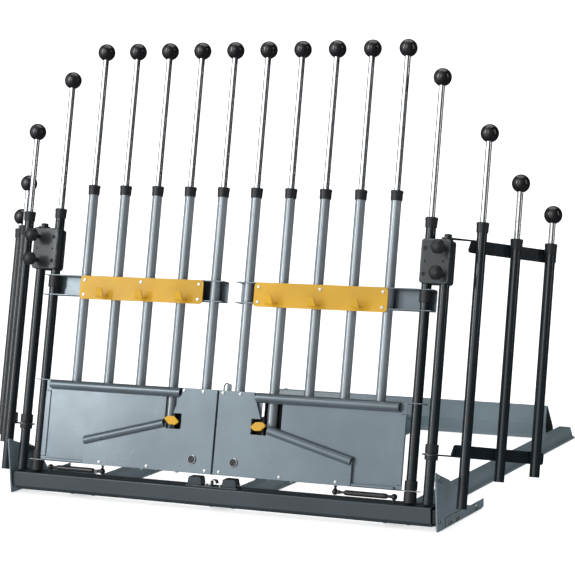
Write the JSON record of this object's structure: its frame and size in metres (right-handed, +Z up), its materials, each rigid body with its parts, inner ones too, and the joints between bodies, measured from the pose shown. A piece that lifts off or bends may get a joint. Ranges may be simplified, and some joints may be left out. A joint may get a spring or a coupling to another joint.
{
  "type": "car boot dog gate",
  "caption": "Leaning two-door barrier for a car boot, with telescoping ball-tipped bars, folding side wings and a floor frame of rails.",
  "frame": {"origin": "on the floor, under the middle of the whole object's bounding box", "axes": "+X to the right seen from the doors' side, +Y from the doors towards the rear beam, +Z up"},
  "size_m": [1.267, 1.044, 0.9309],
  "materials": {
    "dark_paint": "satin",
    "rail_paint": "satin",
    "door_paint": "satin",
    "tube_paint": "satin",
    "yellow_paint": "satin",
    "yellow_plastic": "gloss",
    "black_plastic": "gloss",
    "black_rubber": "matte",
    "chrome_rod": "polished"
  },
  "bodies": {
    "floor_frame": {"front_beam": "dark_paint", "rail_left": "rail_paint", "rail_centre": "rail_paint", "rail_right": "rail_paint", "latch_keeper": "black_rubber", "corner_bracket_left": "rail_paint", "door_post_left": "dark_paint", "wing_post_left": "dark_paint", "clamp_block_left": "dark_paint", "corner_bracket_right": "rail_paint", "door_post_right": "dark_paint", "wing_post_right": "dark_paint", "clamp_block_right": "dark_paint"},
    "rear": {"rear_beam": "rail_paint"},
    "door_left": {"door_panel_left": "door_paint", "door_band_left": "door_paint", "hook_plate_left": "yellow_paint", "door_tube_left_1": "tube_paint", "door_tube_left_2": "tube_paint", "door_tube_left_3": "tube_paint", "door_tube_left_4": "tube_paint", "door_tube_left_5": "tube_paint"},
    "door_rod_left_1": {"door_rod_left_1": "chrome_rod"},
    "door_rod_left_2": {"door_rod_left_2": "chrome_rod"},
    "door_rod_left_3": {"door_rod_left_3": "chrome_rod"},
    "door_rod_left_4": {"door_rod_left_4": "chrome_rod"},
    "door_rod_left_5": {"door_rod_left_5": "chrome_rod"},
    "post_rod_left": {"post_rod_left": "chrome_rod"},
    "wing_left": {"wing_left": "dark_paint"},
    "wing_rod_left_1": {"wing_rod_left_1": "chrome_rod"},
    "wing_rod_left_2": {"wing_rod_left_2": "chrome_rod"},
    "wing_rod_left_3": {"wing_rod_left_3": "chrome_rod"},
    "clamp_knob_lower_left": {"clamp_knob_lower_left": "black_plastic"},
    "clamp_knob_upper_left": {"clamp_knob_upper_left": "black_plastic"},
    "latch_lever_left": {"latch_lever_left": "yellow_plastic"},
    "stay_cylinder_left": {"stay_cylinder_left": "black_plastic"},
    "stay_rod_left": {"stay_rod_left": "black_plastic"},
    "door_right": {"door_panel_right": "door_paint", "door_band_right": "door_paint", "hook_plate_right": "yellow_paint", "door_tube_right_1": "tube_paint", "door_tube_right_2": "tube_paint", "door_tube_right_3": "tube_paint", "door_tube_right_4": "tube_paint", "door_tube_right_5": "tube_paint"},
    "door_rod_right_1": {"door_rod_right_1": "chrome_rod"},
    "door_rod_right_2": {"door_rod_right_2": "chrome_rod"},
    "door_rod_right_3": {"door_rod_right_3": "chrome_rod"},
    "door_rod_right_4": {"door_rod_right_4": "chrome_rod"},
    "door_rod_right_5": {"door_rod_right_5": "chrome_rod"},
    "post_rod_right": {"post_rod_right": "chrome_rod"},
    "wing_right": {"wing_right": "dark_paint"},
    "wing_rod_right_1": {"wing_rod_right_1": "chrome_rod"},
    "wing_rod_right_2": {"wing_rod_right_2": "chrome_rod"},
    "wing_rod_right_3": {"wing_rod_right_3": "chrome_rod"},
    "clamp_knob_lower_right": {"clamp_knob_lower_right": "black_plastic"},
    "clamp_knob_upper_right": {"clamp_knob_upper_right": "black_plastic"},
    "latch_lever_right": {"latch_lever_right": "yellow_plastic"},
    "stay_cylinder_right": {"stay_cylinder_right": "black_plastic"},
    "stay_rod_right": {"stay_rod_right": "black_plastic"}
  },
  "joints": [
    {"name": "rear_beam_slide", "type": "slide", "parent": "floor_frame", "child": "rear", "axis": [0, 1, 0], "range_m": [-0.25, 0]},
    {"name": "door_left_hinge", "type": "hinge", "parent": "floor_frame", "child": "door_left", "pos_m": [-0.422, -0.50755, 0.0473], "axis": [0, -0.2209, -0.9753], "range_deg": [0, 95]},
    {"name": "door_rod_left_1_slide", "type": "slide", "parent": "door_left", "child": "door_rod_left_1", "axis": [0, 0.2209, 0.9753], "range_m": [-0.262, 0]},
    {"name": "door_rod_left_2_slide", "type": "slide", "parent": "door_left", "child": "door_rod_left_2", "axis": [0, 0.2209, 0.9753], "range_m": [-0.262, 0]},
    {"name": "door_rod_left_3_slide", "type": "slide", "parent": "door_left", "child": "door_rod_left_3", "axis": [0, 0.2209, 0.9753], "range_m": [-0.262, 0]},
    {"name": "door_rod_left_4_slide", "type": "slide", "parent": "door_left", "child": "door_rod_left_4", "axis": [0, 0.2209, 0.9753], "range_m": [-0.262, 0]},
    {"name": "door_rod_left_5_slide", "type": "slide", "parent": "door_left", "child": "door_rod_left_5", "axis": [0, 0.2209, 0.9753], "range_m": [-0.262, 0]},
    {"name": "post_rod_left_slide", "type": "slide", "parent": "floor_frame", "child": "post_rod_left", "axis": [0, 0.2209, 0.9753], "range_m": [-0.255, 0.005]},
    {"name": "wing_left_hinge", "type": "hinge", "parent": "floor_frame", "child": "wing_left", "pos_m": [-0.459, -0.50755, 0.0473], "axis": [0, -0.2209, -0.9753], "range_deg": [-50, 28]},
    {"name": "wing_rod_left_1_slide", "type": "slide", "parent": "wing_left", "child": "wing_rod_left_1", "axis": [0, 0.2209, 0.9753], "range_m": [-0.1535, 0.11]},
    {"name": "wing_rod_left_2_slide", "type": "slide", "parent": "wing_left", "child": "wing_rod_left_2", "axis": [0, 0.2209, 0.9753], "range_m": [-0.0735, 0.19]},
    {"name": "wing_rod_left_3_slide", "type": "slide", "parent": "wing_left", "child": "wing_rod_left_3", "axis": [0, 0.2209, 0.9753], "range_m": [-0.008, 0.256]},
    {"name": "clamp_knob_lower_left_turn", "type": "hinge", "parent": "floor_frame", "child": "clamp_knob_lower_left", "pos_m": [-0.459, -0.42875, 0.48265], "axis": [0, -0.9753, 0.2209], "range_deg": [-180, 180]},
    {"name": "clamp_knob_upper_left_turn", "type": "hinge", "parent": "floor_frame", "child": "clamp_knob_upper_left", "pos_m": [-0.459, -0.41771, 0.53141], "axis": [0, -0.9753, 0.2209], "range_deg": [-180, 180]},
    {"name": "latch_lever_left_turn", "type": "hinge", "parent": "door_left", "child": "latch_lever_left", "pos_m": [-0.098, -0.49901, 0.17558], "axis": [0, 0.9753, -0.2209], "range_deg": [0, 25], "stiffness_Nm_per_rad": 0.2},
    {"name": "stay_left_pivot", "type": "hinge", "parent": "floor_frame", "child": "stay_cylinder_left", "pos_m": [-0.389, -0.50479, 0.05949], "axis": [0, -0.2209, -0.9753], "range_deg": [0, 108]},
    {"name": "stay_left_slide", "type": "slide", "parent": "stay_cylinder_left", "child": "stay_rod_left", "axis": [1, 0, 0], "range_m": [0, 0.0415]},
    {"name": "door_right_hinge", "type": "hinge", "parent": "floor_frame", "child": "door_right", "pos_m": [0.422, -0.50755, 0.0473], "axis": [0, 0.2209, 0.9753], "range_deg": [0, 95]},
    {"name": "door_rod_right_1_slide", "type": "slide", "parent": "door_right", "child": "door_rod_right_1", "axis": [0, 0.2209, 0.9753], "range_m": [-0.262, 0]},
    {"name": "door_rod_right_2_slide", "type": "slide", "parent": "door_right", "child": "door_rod_right_2", "axis": [0, 0.2209, 0.9753], "range_m": [-0.262, 0]},
    {"name": "door_rod_right_3_slide", "type": "slide", "parent": "door_right", "child": "door_rod_right_3", "axis": [0, 0.2209, 0.9753], "range_m": [-0.262, 0]},
    {"name": "door_rod_right_4_slide", "type": "slide", "parent": "door_right", "child": "door_rod_right_4", "axis": [0, 0.2209, 0.9753], "range_m": [-0.262, 0]},
    {"name": "door_rod_right_5_slide", "type": "slide", "parent": "door_right", "child": "door_rod_right_5", "axis": [0, 0.2209, 0.9753], "range_m": [-0.262, 0]},
    {"name": "post_rod_right_slide", "type": "slide", "parent": "floor_frame", "child": "post_rod_right", "axis": [0, 0.2209, 0.9753], "range_m": [-0.255, 0.005]},
    {"name": "wing_right_hinge", "type": "hinge", "parent": "floor_frame", "child": "wing_right", "pos_m": [0.459, -0.50755, 0.0473], "axis": [0, 0.2209, 0.9753], "range_deg": [-50, 28]},
    {"name": "wing_rod_right_1_slide", "type": "slide", "parent": "wing_right", "child": "wing_rod_right_1", "axis": [0, 0.2209, 0.9753], "range_m": [-0.1545, 0.109]},
    {"name": "wing_rod_right_2_slide", "type": "slide", "parent": "wing_right", "child": "wing_rod_right_2", "axis": [0, 0.2209, 0.9753], "range_m": [-0.0895, 0.174]},
    {"name": "wing_rod_right_3_slide", "type": "slide", "parent": "wing_right", "child": "wing_rod_right_3", "axis": [0, 0.2209, 0.9753], "range_m": [-0.0375, 0.226]},
    {"name": "clamp_knob_lower_right_turn", "type": "hinge", "parent": "floor_frame", "child": "clamp_knob_lower_right", "pos_m": [0.459, -0.42875, 0.48265], "axis": [0, -0.9753, 0.2209], "range_deg": [-180, 180]},
    {"name": "clamp_knob_upper_right_turn", "type": "hinge", "parent": "floor_frame", "child": "clamp_knob_upper_right", "pos_m": [0.459, -0.41771, 0.53141], "axis": [0, -0.9753, 0.2209], "range_deg": [-180, 180]},
    {"name": "latch_lever_right_turn", "type": "hinge", "parent": "door_right", "child": "latch_lever_right", "pos_m": [0.098, -0.49901, 0.17558], "axis": [0, -0.9753, 0.2209], "range_deg": [0, 25], "stiffness_Nm_per_rad": 0.2},
    {"name": "stay_right_pivot", "type": "hinge", "parent": "floor_frame", "child": "stay_cylinder_right", "pos_m": [0.389, -0.50479, 0.05949], "axis": [0, 0.2209, 0.9753], "range_deg": [0, 108]},
    {"name": "stay_right_slide", "type": "slide", "parent": "stay_cylinder_right", "child": "stay_rod_right", "axis": [-1, 0, 0], "range_m": [0, 0.0415]}
  ],
  "couplings": [
    {"joint": "stay_left_pivot", "follows": "door_left_hinge", "ratio": 1.12},
    {"joint": "stay_left_slide", "follows": "door_left_hinge", "m_per_rad": 0.0244},
    {"joint": "stay_right_pivot", "follows": "door_right_hinge", "ratio": 1.12},
    {"joint": "stay_right_slide", "follows": "door_right_hinge", "m_per_rad": 0.0244}
  ]
}
